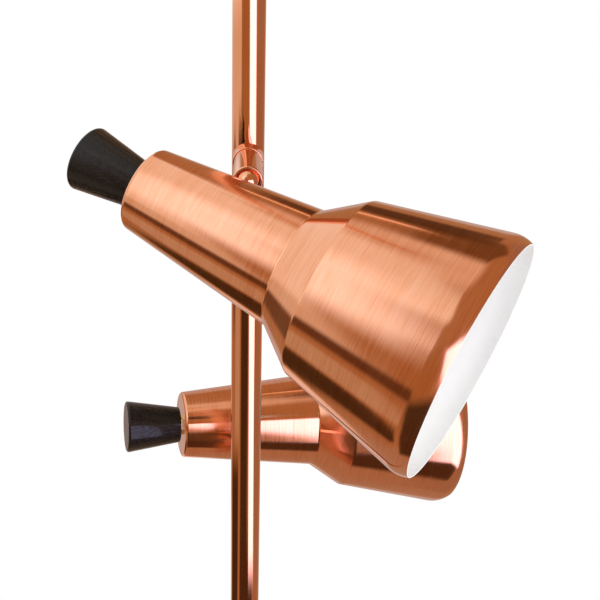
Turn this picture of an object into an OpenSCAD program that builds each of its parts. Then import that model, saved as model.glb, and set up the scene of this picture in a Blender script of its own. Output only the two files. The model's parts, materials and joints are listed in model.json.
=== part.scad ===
// Tension pole lamp: a copper tube wedged between floor and ceiling, with two
// spun spot heads on ball swivels. Millimetres, +Z up, origin under the floor pad.

/* [Room] */
// Floor to ceiling, with the sprung ceiling foot fully out
ceiling_height = 2500; // [2200:10:3000]
// Ceiling down to the upper swivel
upper_joint_drop = 800; // [750:10:900]
// Distance from the upper swivel down to the lower one
joint_drop = 240; // [220:5:320]

/* [Pole] */
// Outer diameter of the pole tubes
pole_d = 20; // [19:0.5:23]
// Wall of the pole tubes
tube_wall = 1.2; // [1:0.1:1.4]
// Height of the seam between lower and middle tube
lower_seam_z = 900; // [600:10:1000]
// Ceiling down to the seam between middle and top tube
upper_seam_drop = 650; // [620:5:680]
// Ceiling down to the upper end of the top tube
pole_top_drop = 300; // [260:10:330]
// Length of the sleeve that joins two tubes
coupler_len = 60; // [40:2:70]
// Wall of that sleeve
coupler_wall = 1.6; // [1.2:0.1:1.8]
// Height of the ring that shows between two tubes
seam_ring_h = 2; // [1:0.5:4]
// Diameter of the leads inside the pole
pole_lead_d = 4.4; // [4:0.1:4.6]

/* [Feet] */
// Diameter of the floor and ceiling feet
foot_d = 64; // [50:2:90]
// Height of a foot, without its pad
foot_h = 12; // [9:1:18]
// Height of the straight rim of a foot
foot_rim_h = 4; // [3:0.5:6]
// Thickness of the rubber pads
pad_h = 3; // [2.5:0.5:5]
// Depth of a pad's seat in its foot
pad_seat = 1.5; // [1:0.25:2]
// Edge of the foot beyond its pad
pad_lip = 2; // [1:0.5:4]
// Length of the foot's spigot in the lower tube
spigot_len = 30; // [22:1:40]
// Diameter of the screw through tube and spigot
foot_screw_d = 4; // [3:0.5:5]

/* [Cord inlet] */
// Height of the cord inlet on the lower tube
inlet_z = 70; // [60:1:120]
// Bore of the inlet grommet
inlet_bore_d = 6.4; // [5:0.2:6.8]
// Wall of the grommet round its bore
grommet_wall = 1.2; // [1:0.1:1.4]
// Overhang of the grommet's flange
grommet_flange = 1.5; // [1:0.25:2]

/* [Extension and spring] */
// Length of the tube that slides in the top tube
extension_len = 400; // [370:5:420]
// Wall of that tube
extension_wall = 1; // [0.8:0.1:1.2]
// Wall of the clamping collet round it
collet_wall = 0.7; // [0.6:0.1:1]
// Length of the collet inside the top tube
collet_len = 40; // [25:1:50]
// Height of the collet's clamped end
collet_tip_h = 12; // [10:1:16]
// Outer diameter of the lock nut
lock_nut_d = 27; // [25:1:32]
// Height of the lock nut
lock_nut_h = 20; // [18:1:26]
// Travel of the sprung ceiling foot
spring_travel = 50; // [30:1:60]
// Diameter of the plunger rod
plunger_d = 9; // [7:0.5:10]
// Length of the guide bush in the extension tube
bush_len = 18; // [12:1:24]
// Length of the spring with the foot fully out
spring_len = 140; // [110:2:160]
// Wire diameter of the spring
spring_wire = 1.6; // [1.2:0.1:1.8]
// Turns of the spring
spring_turns = 16; // [10:1:20]

/* [Swivel] */
// Diameter of the swivel's socket
swivel_d = 17.2; // [17.2:0.1:19]
// Pole axis to the socket's front face
swivel_reach = 60; // [52:1:70]
// Diameter of the collar at the pole
saddle_d = 18.6; // [17.6:0.2:19]
// Length of the collar beyond the pole
saddle_len = 10.5; // [4:0.5:12]
// Diameter of the ball
ball_d = 13; // [12.4:0.1:13.4]
// Ball centre behind the socket's front face
ball_setback = 2; // [1.8:0.1:2.2]
// Diameter of the ball's stem
stem_d = 6.4; // [5.8:0.1:6.6]
// Ball centre to the head's axis
stem_reach = 39.5; // [38:0.5:44]
// Place of the stem along the head, from the neck's rear face
stem_place = 42.5; // [38:0.5:44]
// Diameter of the leads through ball and head
head_lead_d = 4; // [3:0.1:4.2]

/* [Aim of the upper head] */
// Turn about the socket's axis
upper_turn = -53; // [-165:0.1:165]
// Tilt of the stem off the socket's axis
upper_tilt = 42.9; // [0:0.1:45]
// Roll of the head about its stem
upper_roll = 41.8; // [0:0.1:90]

/* [Aim of the lower head] */
// Turn about the socket's axis
lower_turn = 106.4; // [-165:0.1:165]
// Tilt of the stem off the socket's axis
lower_tilt = 12.1; // [0:0.1:45]
// Roll of the head about its stem
lower_roll = 77.2; // [40:0.1:140]

/* [Head shell] */
// Sheet thickness of the spun shell
shell_wall = 1; // [0.8:0.1:1.4]
// Neck radius at its rear face
neck_rear_r = 24.5; // [23.5:0.5:27]
// Neck radius at its front
neck_front_r = 35; // [33:0.5:38]
// Length of the neck
neck_len = 100; // [94:1:110]
// Shell radius at the end of the shoulder
shoulder_r = 52; // [46:0.5:56]
// Length of the shoulder
shoulder_len = 23.5; // [18:0.5:30]
// Largest radius of the shade
shade_r = 70; // [64:0.5:78]
// Length of the shade's cone
shade_len = 77.5; // [70:0.5:90]
// Radius of the mouth inside the turned-in lip
mouth_r = 67.5; // [61:0.5:69]
// Length of the turned-in lip
lip_len = 5.5; // [3:0.5:7]
// Bend radius at the neck's rear edge
rear_bend_r = 2; // [1.5:0.5:3]
// Bend radius of the creases
crease_bend_r = 7; // [3:0.5:10]
// Bend radius of the lip
lip_bend_r = 5; // [2:0.5:6]

/* [Knob and switch] */
// Knob radius next to the neck
knob_front_r = 13.2; // [12:0.1:15]
// Knob radius at its free end
knob_rear_r = 19.3; // [16:0.1:22]
// Length of the knob
knob_len = 40; // [32:1:46]
// Gap between knob and neck
knob_gap = 1.5; // [1:0.25:3]
// Rounding of the knob's free edge
knob_edge_r = 1.5; // [1:0.25:3]
// Diameter of the switch shaft
shaft_d = 6; // [5:0.5:7]
// Thread diameter of the switch bushing
bushing_d = 10; // [9.5:0.25:10.5]
// Width of the square switch body
switch_w = 22; // [18:1:26]
// Length of the switch body
switch_len = 17; // [14:1:19]

/* [Lampholder and bulb] */
// Diameter of the lampholder
holder_d = 39; // [36:1:42]
// Length of the lampholder
holder_len = 46; // [42:1:50]
// Diameter of the bulb's screw cap
cap_d = 26.4; // [25:0.2:27]
// Length of the screw cap
cap_len = 25; // [22:1:26]
// Diameter of the bulb's globe
globe_d = 45; // [40:1:50]
// Length of the glass beyond the cap
glass_len = 58; // [54:1:64]

/* [Hidden] */
$fn = 72;
copper = [0.80, 0.47, 0.30];
brass = [0.78, 0.62, 0.30];
steel = [0.66, 0.67, 0.69];
black_wood = [0.07, 0.06, 0.055];
rubber = [0.10, 0.10, 0.10];
nylon = [0.88, 0.87, 0.83];
black_plastic = [0.12, 0.12, 0.13];
sheath = [0.93, 0.93, 0.91];
opal = [0.97, 0.96, 0.93];

// Clearances: pieces seated in one another, a shaft in its bore, and moving pieces side by side
fit_gap = 0.05;
run_gap = 0.06;
free_gap = 0.3;
// Overrun of every cut
over = 1;
// Exact cones and discs are drawn this much finer where they show
shell_fn = 144;
// Points on each bend of the shell's outline
bend_steps = 8;

pole_r = pole_d / 2;
tube_in_r = pole_r - tube_wall;
upper_joint_z = ceiling_height - upper_joint_drop;
lower_joint_z = upper_joint_z - joint_drop;
upper_seam_z = ceiling_height - upper_seam_drop;
pole_top_z = ceiling_height - pole_top_drop;
coupler_r = tube_in_r - fit_gap;
coupler_bore_r = coupler_r - coupler_wall;
foot_r = foot_d / 2;
// Step of the foot's hub beyond the pole
hub_step = 2;
hub_r = pole_r + hub_step;
foot_base_z = pad_h - pad_seat;
foot_top_z = foot_base_z + foot_h;
pad_r = foot_r - pad_lip;
spigot_r = tube_in_r - fit_gap;
// Wall and overhang of the screw's head, and how deep the screw goes into the spigot
screw_head_h = 1.6;
screw_head_step = 1.4;
screw_depth = 4.5;
foot_screw_r = foot_screw_d / 2;
foot_screw_z = foot_top_z + spigot_len / 2;
inlet_r = inlet_bore_d / 2;
grommet_r = inlet_r + grommet_wall;
// How far the grommet stands proud outside and inside the tube
grommet_proud = 1.8;

// Extension, collet and lock nut, from the top tube's end
extension_r = tube_in_r - 2 * fit_gap - collet_wall;
extension_in_r = extension_r - extension_wall;
// Ring of the collet that rests on the tube's end, and the slots in its tip
collet_ring_h = 3;
collet_slots = 4;
collet_slot_w = 1.2;
// Wall of the collet's clamped tip
collet_tip_wall = 2;
collet_tip_z = pole_top_z + collet_ring_h;
collet_tip_r = extension_r + run_gap + collet_tip_wall;
lock_nut_z = collet_tip_z + free_gap;
lock_nut_edge = 1.2;
// Grooves milled along the lock nut
lock_grooves = 16;
lock_groove_r = 0.7;
// Glide at the extension's lower end
glide_h = 5;
glide_spigot = 12;

// Ceiling end, from the top down
ceiling_foot_z = ceiling_height - foot_base_z - foot_h;
// Rod left showing when the spring is fully pressed
rod_rest = 8;
bush_ring_h = 2;
extension_top_z = ceiling_foot_z - rod_rest - spring_travel - bush_ring_h;
extension_low_z = extension_top_z - extension_len;
plunger_r = plunger_d / 2;
// Depth of the rod's thread in the ceiling foot, and its head that the spring pushes
rod_seat = 9;
rod_head_h = 6;
rod_head_z = extension_top_z - bush_len - free_gap - rod_head_h;
spring_top_z = rod_head_z - free_gap;
spring_low_z = spring_top_z - spring_len;
seat_h = 8;
seat_pin_r = 1.5;
seat_pin_flush = 0.2;
spring_coil_r = extension_in_r - free_gap - spring_wire / 2;
spring_steps = 14;
wire_sides = 6;

// Swivel, measured along the socket's axis from the pole axis
saddle_r = saddle_d / 2;
saddle_end = pole_r + saddle_len;
saddle_edge = 0.5;
nipple_r = 5;
nipple_bore_r = 3.2;
nipple_nut_r = 6.6;
nipple_nut_h = 2.6;
nipple_tail = 0.8;
nipple_nut_x = sqrt(pow(tube_in_r, 2) - pow(nipple_nut_r, 2)) - fit_gap - nipple_nut_h;
nipple_low_x = nipple_nut_x - nipple_tail;
// Length of thread inside the socket
nipple_grip = 14;
nipple_end_x = saddle_end + free_gap + nipple_grip;
swivel_r = swivel_d / 2;
swivel_edge = 0.8;
socket_low_x = saddle_end + free_gap;
ball_x = swivel_reach - ball_setback;
ball_r = ball_d / 2;
// Wall of the socket round the ring, the ring's rear face and where its flare begins
ring_wall = 1.1;
ring_r = swivel_r - ring_wall;
ring_back = 0.4;
flare_share = 0.6;
flare_step = 0.5;
stem_r = stem_d / 2;
head_lead_r = head_lead_d / 2;
pole_lead_r = pole_lead_d / 2;
// Room round a lead in its bore
lead_room = 0.15;
stem_bore_r = head_lead_r + lead_room;

// Shell outline: radius and place of its corners, from the hole in the rear face to the lip
bushing_r = bushing_d / 2;
rear_hole_r = bushing_r + fit_gap;
shoulder_s = neck_len + shoulder_len;
shade_s = shoulder_s + shade_len;
mouth_s = shade_s + lip_len;
shell_corners = [
    [rear_hole_r, 0],
    [neck_rear_r, 0],
    [neck_front_r, neck_len],
    [shoulder_r, shoulder_s],
    [shade_r, shade_s],
    [mouth_r, mouth_s]];
shell_bends = [0, rear_bend_r, crease_bend_r, crease_bend_r, lip_bend_r, 0];
neck_slope = (neck_front_r - neck_rear_r) / neck_len;
neck_wall_r = shell_wall * sqrt(1 + pow(neck_slope, 2));
neck_at_stem_r = neck_rear_r + neck_slope * stem_place;

// Stem inside the neck: bracket, nut and end of the stem
washer_r = 5.8;
washer_h = 1.6;
bracket_t = 1.5;
bracket_half_w = 7;
// Bracket beyond the stem's axis towards the rear
bracket_tail = 8;
bracket_rear_s = stem_place - bracket_tail;
bracket_in_r = neck_rear_r + neck_slope * bracket_rear_s - neck_wall_r;
bracket_x = sqrt(pow(bracket_in_r, 2) - pow(bracket_half_w, 2)) - free_gap;
// Stem's axis to the bracket's upright leg, and the leg's length past the head's axis
bracket_reach = 9;
bracket_past = 8;
bracket_s = stem_place + bracket_reach;
stem_nut_r = 6;
stem_nut_h = 4.5;
stem_tail = 1.5;
stem_nut_x = bracket_x - bracket_t - free_gap - stem_nut_h;
stem_end_x = stem_nut_x - stem_tail;

// Lampholder and bulb, along the head's axis
holder_r = holder_d / 2;
holder_s = bracket_s + bracket_t;
holder_end_s = holder_s + holder_len;
tail_r = 5;
tail_len = 5;
holder_dome_h = 8;
holder_rear_share = 0.7;
holder_lip_h = 3;
holder_lip_step = 1;
cap_r = cap_d / 2;
// Clearance of the cap's thread, and gap between cap and the holder's floor
cap_gap = 0.4;
cap_floor = 0.8;
// Length of the cap that stands out of the holder
cap_out = 1;
cap_end_s = holder_end_s + cap_out;
cap_low_s = cap_end_s - cap_len;
tip_h = 2;
tip_r = 4.5;
cap_cone_h = 4;
cap_cone_share = 0.55;
globe_r = globe_d / 2;
glass_wall = 0.9;
glass_end_s = cap_end_s + glass_len;
globe_s = glass_end_s - globe_r;
// Glass seated inside the cap
glass_seat = 5;
cap_wall = 0.5;
glass_neck_r = cap_r - cap_wall - fit_gap;
glass_steps = 20;

// Switch and knob: s is zero at the neck's rear face, and the knob lies at negative s
shaft_r = shaft_d / 2;
bushing_out = 6;
switch_nut_r = 7.6;
switch_nut_h = 2.8;
switch_s = shell_wall + fit_gap;
switch_end_s = switch_s + switch_len;
switch_edge = 1.5;
lug_w = 4.8;
lug_t = 0.8;
lug_len = 5;
lug_x = 6;
knob_recess_r = switch_nut_r + 4 * free_gap;
knob_recess_h = 7;
insert_wall = 2;
insert_r = shaft_r + insert_wall;
insert_len = 15;
insert_floor = 2;
insert_s = knob_gap + knob_recess_h;
shaft_in = 6;

// Leads: the two in the pole lean on the couplers' bore, side by side at +x and -x
lead_side_share = 0.52;
lead_x = coupler_bore_r * lead_side_share;
lead_y = sqrt(pow(coupler_bore_r - free_gap - pole_lead_r, 2) - pow(lead_x, 2));
lead_low_z = inlet_z + 2 * grommet_r;
// Stretch over which the upper lead crosses the tube, and the bend of a lead into its nipple
lead_cross = 60;
lead_bend = 14;
lead_bend_share = 0.4;
lead_sides = 8;
lead_steps = 10;
lead_end_x = ball_x - ball_r - 2 * free_gap;

// Places: at a swivel +X runs outwards along the socket; at a ball +X runs along the
// stem; at a head +Z runs along the head's axis from the neck's rear face to the mouth
module at_upper() {
    translate([0, 0, upper_joint_z]) rotate([0, 0, -90]) children();
}

module at_lower() {
    translate([0, 0, lower_joint_z]) rotate([0, 0, 90]) children();
}

module at_ball(turn, tilt) {
    translate([ball_x, 0, 0]) rotate([turn, 0, 0]) rotate([0, tilt, 0]) children();
}

module at_head(roll) {
    rotate([roll, 0, 0]) translate([stem_reach, 0, 0]) rotate([-90, 0, 0])
        translate([0, 0, -stem_place]) children();
}

module at_upper_ball() {
    at_upper() at_ball(upper_turn, upper_tilt) children();
}

module at_lower_ball() {
    at_lower() at_ball(lower_turn, lower_tilt) children();
}

module at_upper_head() {
    at_upper_ball() at_head(upper_roll) children();
}

module at_lower_head() {
    at_lower_ball() at_head(lower_roll) children();
}

// A cylinder along +X from x0 to x1
module rod_x(r, x0, x1) {
    translate([x0, 0, 0]) rotate([0, 90, 0]) cylinder(h = x1 - x0, r = r);
}

// A cylinder along +Y from y0 to y1
module rod_y(r, y0, y1) {
    translate([0, y0, 0]) rotate([-90, 0, 0]) cylinder(h = y1 - y0, r = r);
}

// A tube from z0 to z1
module tube(r, bore_r, z0, z1) {
    difference() {
        translate([0, 0, z0]) cylinder(h = z1 - z0, r = r);
        translate([0, 0, z0 - over]) cylinder(h = z1 - z0 + 2 * over, r = bore_r);
    }
}

// Outline functions
function unit(v) = v / norm(v);

function left_of(a, b) = let (d = unit(b - a)) [-d[1], d[0]];

// Round a corner b between a and c with radius r
function bend(a, b, c, r) =
    let (
        u = unit(a - b),
        v = unit(c - b),
        half = acos(u * v) / 2,
        centre = b + unit(u + v) * r / sin(half),
        p = b + u * r / tan(half) - centre,
        q = b + v * r / tan(half) - centre)
    [for (i = [0:bend_steps]) centre + r * unit(p * (bend_steps - i) + q * i)];

// Move every corner of an open outline by d to its left
function shifted(path, d) = [
    for (i = [0:len(path) - 1])
        let (
            m = i > 0 ? left_of(path[i - 1], path[i]) : left_of(path[0], path[1]),
            n = i < len(path) - 1 ? left_of(path[i], path[i + 1]) : m)
        path[i] + (m + n) * d / (1 + m * n)];

// An open outline with its corners bent
function bent(path, radii) = [
    for (i = [0:len(path) - 1])
        each radii[i] > 0 ? bend(path[i - 1], path[i], path[i + 1], radii[i]) : [path[i]]];

function reversed(path) = [for (i = [len(path) - 1:-1:0]) path[i]];

// Sweeps: rings of a round tube along a list of points, with the rings square to the path
function tangent(path, i) =
    unit(path[min(i + 1, len(path) - 1)] - path[max(i - 1, 0)]);

function ring_at(centre, along, side, r, sides) =
    let (a = unit(cross(along, side)), b = cross(along, a))
    [for (k = [0:sides - 1]) centre + r * (cos(360 * k / sides) * a + sin(360 * k / sides) * b)];

module sweep(path, r, side, sides) {
    points = [for (i = [0:len(path) - 1]) each ring_at(path[i], tangent(path, i), side, r, sides)];
    last = (len(path) - 1) * sides;
    walls = [
        for (i = [0:len(path) - 2])
            for (k = [0:sides - 1])
                let (n = (k + 1) % sides, low = i * sides, high = low + sides)
                each [[low + k, low + n, high + n], [low + k, high + n, high + k]]];
    ends = [[for (k = [sides - 1:-1:0]) k], [for (k = [0:sides - 1]) last + k]];
    polyhedron(points = points, faces = concat(walls, ends), convexity = 10);
}

// A smooth curve from a to d that leaves towards b and arrives from c
function curve(a, b, c, d, steps) = [
    for (i = [0:steps])
        let (t = i / steps, w = 1 - t)
        w * w * w * a + 3 * w * w * t * b + 3 * w * t * t * c + t * t * t * d];

// Feet and pads
module foot_form() {
    rotate_extrude($fn = shell_fn)
        polygon([
            [0, pad_seat],
            [pad_r + fit_gap, pad_seat],
            [pad_r + fit_gap, 0],
            [foot_r, 0],
            [foot_r, foot_rim_h],
            [hub_r, foot_h],
            [0, foot_h]]);
}

module pad_form() {
    cylinder(h = pad_h, r = pad_r, $fn = shell_fn);
}

module floor_pad() {
    color(rubber) pad_form();
}

module floor_foot() {
    color(copper) difference() {
        union() {
            translate([0, 0, foot_base_z]) foot_form();
            translate([0, 0, foot_top_z - over]) cylinder(h = spigot_len + over, r = spigot_r);
        }
        translate([0, 0, foot_screw_z]) rod_y(foot_screw_r, spigot_r - screw_depth, pole_r);
    }
}

module foot_screw() {
    color(copper) translate([0, 0, foot_screw_z]) {
        rod_y(foot_screw_r - fit_gap, spigot_r - screw_depth + free_gap, pole_r + screw_head_h);
        difference() {
            rod_y(foot_screw_r + screw_head_step, tube_in_r, pole_r + screw_head_h);
            translate([0, 0, -foot_screw_d]) cylinder(h = 2 * foot_screw_d, r = pole_r + fit_gap);
        }
    }
}

// Pole tubes
module lower_tube() {
    color(copper) difference() {
        tube(pole_r, tube_in_r, foot_top_z, lower_seam_z - seam_ring_h / 2);
        translate([0, 0, foot_screw_z]) rod_y(foot_screw_r, 0, pole_r + over);
        translate([0, 0, inlet_z]) rod_y(grommet_r + fit_gap, 0, pole_r + over);
    }
}

module middle_tube() {
    color(copper) difference() {
        tube(pole_r, tube_in_r, lower_seam_z + seam_ring_h / 2, upper_seam_z - seam_ring_h / 2);
        at_upper() rod_x(nipple_r + fit_gap, 0, pole_r + over);
        at_lower() rod_x(nipple_r + fit_gap, 0, pole_r + over);
    }
}

module top_tube() {
    color(copper) tube(pole_r, tube_in_r, upper_seam_z + seam_ring_h / 2, pole_top_z);
}

module coupler_form() {
    difference() {
        union() {
            translate([0, 0, -coupler_len / 2]) cylinder(h = coupler_len, r = coupler_r);
            translate([0, 0, -seam_ring_h / 2]) cylinder(h = seam_ring_h, r = pole_r);
        }
        translate([0, 0, -coupler_len / 2 - over])
            cylinder(h = coupler_len + 2 * over, r = coupler_bore_r);
    }
}

module tube_couplers() {
    color(steel) for (z = [lower_seam_z, upper_seam_z]) translate([0, 0, z]) coupler_form();
}

module cord_grommet() {
    color(rubber) translate([0, 0, inlet_z]) difference() {
        union() {
            rod_y(grommet_r, tube_in_r - grommet_proud, pole_r + grommet_proud);
            difference() {
                rod_y(grommet_r + grommet_flange, tube_in_r, pole_r + grommet_proud);
                translate([0, 0, -pole_d]) cylinder(h = 2 * pole_d, r = pole_r + fit_gap);
            }
        }
        rod_y(inlet_r, 0, pole_r + grommet_proud + over);
    }
}

// A lead up one side of the pole, through the nipple at joint_z and on to the ball. It rises
// through the points in climb, and out is the nipple's direction along Y
module pole_lead(climb, joint_z, out) {
    top = climb[len(climb) - 1];
    soft = lead_bend * lead_bend_share;
    low_y = out * nipple_low_x;
    into = curve(top, top + [0, 0, soft], [0, low_y - out * soft, joint_z], [0, low_y, joint_z],
        lead_steps);
    sweep(concat(climb, [for (i = [1:lead_steps]) into[i]], [[0, out * lead_end_x, joint_z]]),
        pole_lead_r, [1, 0, 0], lead_sides);
}

module pole_leads() {
    cross_z = upper_joint_z - lead_bend - lead_cross;
    color(sheath) {
        pole_lead([
            [lead_x, -lead_y, lead_low_z],
            [lead_x, -lead_y, cross_z - lead_cross],
            [lead_x, lead_y, cross_z],
            [lead_x, lead_y, upper_joint_z - lead_bend]], upper_joint_z, -1);
        pole_lead([
            [-lead_x, -lead_y, lead_low_z],
            [-lead_x, -lead_y, lower_joint_z - lead_bend]], lower_joint_z, 1);
    }
}

// Collet, lock nut and extension
module lock_collet() {
    color(nylon) difference() {
        union() {
            translate([0, 0, pole_top_z - collet_len])
                cylinder(h = collet_len + over, r = tube_in_r - fit_gap);
            translate([0, 0, pole_top_z]) cylinder(h = collet_ring_h, r = pole_r);
            translate([0, 0, collet_tip_z]) cylinder(h = collet_tip_h, r = collet_tip_r);
        }
        translate([0, 0, pole_top_z - collet_len - over])
            cylinder(h = collet_len + collet_ring_h + collet_tip_h + 2 * over, r = extension_r + run_gap);
        for (i = [0:collet_slots - 1])
            rotate([0, 0, 360 * i / collet_slots])
                translate([0, -collet_slot_w / 2, collet_tip_z + free_gap])
                    cube([pole_d, collet_slot_w, collet_tip_h]);
    }
}

module lock_nut() {
    nut_r = lock_nut_d / 2;
    bore_h = collet_tip_h + free_gap;
    color(copper) difference() {
        translate([0, 0, lock_nut_z]) union() {
            cylinder(h = lock_nut_edge, r1 = nut_r - lock_nut_edge, r2 = nut_r);
            translate([0, 0, lock_nut_edge]) cylinder(h = lock_nut_h - 2 * lock_nut_edge, r = nut_r);
            translate([0, 0, lock_nut_h - lock_nut_edge])
                cylinder(h = lock_nut_edge, r1 = nut_r, r2 = nut_r - lock_nut_edge);
        }
        translate([0, 0, lock_nut_z - over])
            cylinder(h = bore_h + over, r = collet_tip_r + free_gap);
        translate([0, 0, lock_nut_z]) cylinder(h = lock_nut_h + over, r = extension_r + free_gap);
        for (i = [0:lock_grooves - 1])
            rotate([0, 0, 360 * i / lock_grooves]) translate([nut_r, 0, lock_nut_z - over])
                cylinder(h = lock_nut_h + 2 * over, r = lock_groove_r, $fn = 24);
    }
}

module extension_tube() {
    color(copper) difference() {
        tube(extension_r, extension_in_r, extension_low_z, extension_top_z);
        translate([0, 0, spring_low_z - seat_h / 2])
            rod_y(seat_pin_r + fit_gap, -pole_r, pole_r);
    }
}

module extension_glide() {
    color(nylon) translate([0, 0, extension_low_z]) {
        translate([0, 0, -glide_h]) cylinder(h = glide_h, r = tube_in_r - free_gap);
        cylinder(h = glide_spigot, r = extension_in_r - fit_gap);
    }
}

module spring_seat() {
    pin_half = extension_r - seat_pin_flush;
    color(steel) translate([0, 0, spring_low_z - seat_h]) {
        cylinder(h = seat_h, r = extension_in_r - fit_gap);
        translate([0, 0, seat_h / 2]) rod_y(seat_pin_r, -pin_half, pin_half);
    }
}

module tension_spring() {
    wire_r = spring_wire / 2;
    rise = spring_len - spring_wire;
    steps = spring_turns * spring_steps;
    path = [
        for (i = [0:steps])
            [spring_coil_r * cos(360 * i / spring_steps),
             spring_coil_r * sin(360 * i / spring_steps),
             spring_low_z + wire_r + rise * i / steps]];
    color(steel) sweep(path, wire_r, [0, 0, 1], wire_sides);
}

module guide_bush() {
    color(nylon) difference() {
        union() {
            translate([0, 0, extension_top_z - bush_len])
                cylinder(h = bush_len + over, r = extension_in_r - fit_gap);
            translate([0, 0, extension_top_z]) cylinder(h = bush_ring_h, r = extension_r);
        }
        translate([0, 0, extension_top_z - bush_len - over])
            cylinder(h = bush_len + bush_ring_h + 2 * over, r = plunger_r + run_gap);
    }
}

module plunger_rod() {
    color(steel) {
        translate([0, 0, rod_head_z]) cylinder(h = rod_head_h, r = extension_in_r - free_gap);
        translate([0, 0, rod_head_z])
            cylinder(h = ceiling_foot_z + rod_seat - rod_head_z - free_gap, r = plunger_r);
    }
}

module ceiling_foot() {
    color(copper) difference() {
        translate([0, 0, ceiling_foot_z + foot_h]) rotate([180, 0, 0]) foot_form();
        translate([0, 0, ceiling_foot_z - over])
            cylinder(h = rod_seat + over, r = plunger_r + fit_gap);
    }
}

module ceiling_pad() {
    color(rubber) translate([0, 0, ceiling_height - pad_h]) pad_form();
}

// Swivel pieces, along +X
module saddle_form() {
    color(copper) difference() {
        union() {
            rod_x(saddle_r, 0, saddle_end - saddle_edge);
            translate([saddle_end - saddle_edge, 0, 0]) rotate([0, 90, 0])
                cylinder(h = saddle_edge, r1 = saddle_r, r2 = saddle_r - saddle_edge);
        }
        translate([0, 0, -pole_d]) cylinder(h = 2 * pole_d, r = pole_r + fit_gap);
        rod_x(nipple_r + fit_gap, 0, saddle_end + over);
    }
}

module nipple_form() {
    color(brass) difference() {
        rod_x(nipple_r, nipple_low_x, nipple_end_x);
        rod_x(nipple_bore_r, nipple_low_x - over, nipple_end_x + over);
    }
}

module nipple_nut_form() {
    difference() {
        rod_x(nipple_nut_r, nipple_nut_x, nipple_nut_x + nipple_nut_h);
        rod_x(nipple_r + fit_gap, nipple_nut_x - over, nipple_nut_x + nipple_nut_h + over);
    }
}

module nipple_nuts() {
    color(brass) {
        at_upper() nipple_nut_form();
        at_lower() nipple_nut_form();
    }
}

module socket_form() {
    color(copper) difference() {
        union() {
            rod_x(swivel_r, socket_low_x, swivel_reach - swivel_edge);
            translate([swivel_reach - swivel_edge, 0, 0]) rotate([0, 90, 0])
                cylinder(h = swivel_edge, r1 = swivel_r, r2 = swivel_r - swivel_edge);
        }
        rod_x(nipple_r + run_gap, socket_low_x - over, nipple_end_x + free_gap);
        rod_x(nipple_bore_r, socket_low_x, ball_x);
        translate([ball_x, 0, 0]) sphere(r = ball_r + run_gap);
        rod_x(ring_r + fit_gap, ball_x + ring_back, swivel_reach + over);
    }
}

module socket_ring_form() {
    flare_x = ball_setback * flare_share;
    flare_r = sqrt(pow(ball_r + run_gap, 2) - pow(flare_x, 2));
    flare_h = ball_setback - flare_x;
    color(copper) difference() {
        rod_x(ring_r, ball_x + ring_back, swivel_reach);
        translate([ball_x, 0, 0]) sphere(r = ball_r + run_gap);
        translate([ball_x + flare_x, 0, 0]) rotate([0, 90, 0])
            cylinder(h = 2 * flare_h, r1 = flare_r, r2 = flare_r + 2 * flare_step);
    }
}

// Ball and stem, with the ball's centre at the origin and the stem along +X
module ball_stem_form() {
    color(copper) difference() {
        union() {
            sphere(r = ball_r);
            rod_x(stem_r, 0, stem_reach - stem_end_x);
        }
        rod_x(stem_bore_r, -ball_r - over, stem_reach - stem_end_x + over);
    }
}

module stem_lead_form() {
    color(sheath) rod_x(head_lead_r, free_gap - ball_r + over, stem_reach - stem_end_x);
}

module stem_nut_form() {
    x0 = stem_reach - stem_nut_x - stem_nut_h;
    color(brass) difference() {
        rod_x(stem_nut_r, x0, x0 + stem_nut_h);
        rod_x(stem_r + fit_gap, x0 - over, x0 + stem_nut_h + over);
    }
}

// Head pieces, along +Z from the neck's rear face, with the ball on the -X side
module stem_hole(r) {
    translate([0, 0, stem_place]) rod_x(r, -stem_reach, 0);
}

module stem_washer_form() {
    color(copper) difference() {
        translate([0, 0, stem_place]) rod_x(washer_r, -neck_at_stem_r - washer_h, -bracket_x);
        cylinder(h = neck_len, r1 = neck_rear_r + fit_gap, r2 = neck_front_r + fit_gap, $fn = shell_fn);
        stem_hole(stem_r + run_gap);
    }
}

module shell_form() {
    outer = bent(shell_corners, shell_bends);
    inner = bent(shifted(shell_corners, shell_wall), shell_bends);
    color(copper) difference() {
        rotate_extrude($fn = shell_fn) polygon(concat(outer, reversed(inner)));
        stem_hole(stem_r + run_gap);
    }
}

module holder_bracket_form() {
    color(steel) difference() {
        union() {
            translate([-bracket_x, -bracket_half_w, bracket_rear_s])
                cube([bracket_t, 2 * bracket_half_w, bracket_s + bracket_t - bracket_rear_s]);
            translate([-bracket_x, -bracket_half_w, bracket_s])
                cube([bracket_x + bracket_past, 2 * bracket_half_w, bracket_t]);
        }
        stem_hole(stem_r + free_gap);
        translate([0, 0, bracket_s - over])
            cylinder(h = bracket_t + 2 * over, r = tail_r + fit_gap);
    }
}

module lampholder_form() {
    color(black_plastic) difference() {
        union() {
            translate([0, 0, holder_s - bracket_t - tail_len])
                cylinder(h = tail_len + bracket_t + over, r = tail_r);
            translate([0, 0, holder_s])
                cylinder(h = holder_dome_h, r1 = holder_r * holder_rear_share, r2 = holder_r);
            translate([0, 0, holder_s + holder_dome_h])
                cylinder(h = holder_len - holder_dome_h, r = holder_r);
            translate([0, 0, holder_end_s - holder_lip_h])
                cylinder(h = holder_lip_h, r = holder_r + holder_lip_step);
        }
        translate([0, 0, cap_low_s - cap_floor]) cylinder(h = holder_len, r = cap_r + cap_gap);
        translate([0, 0, holder_s - bracket_t - tail_len - over])
            cylinder(h = bracket_t + tail_len + 2 * over, r = head_lead_r + lead_room);
    }
}

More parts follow.
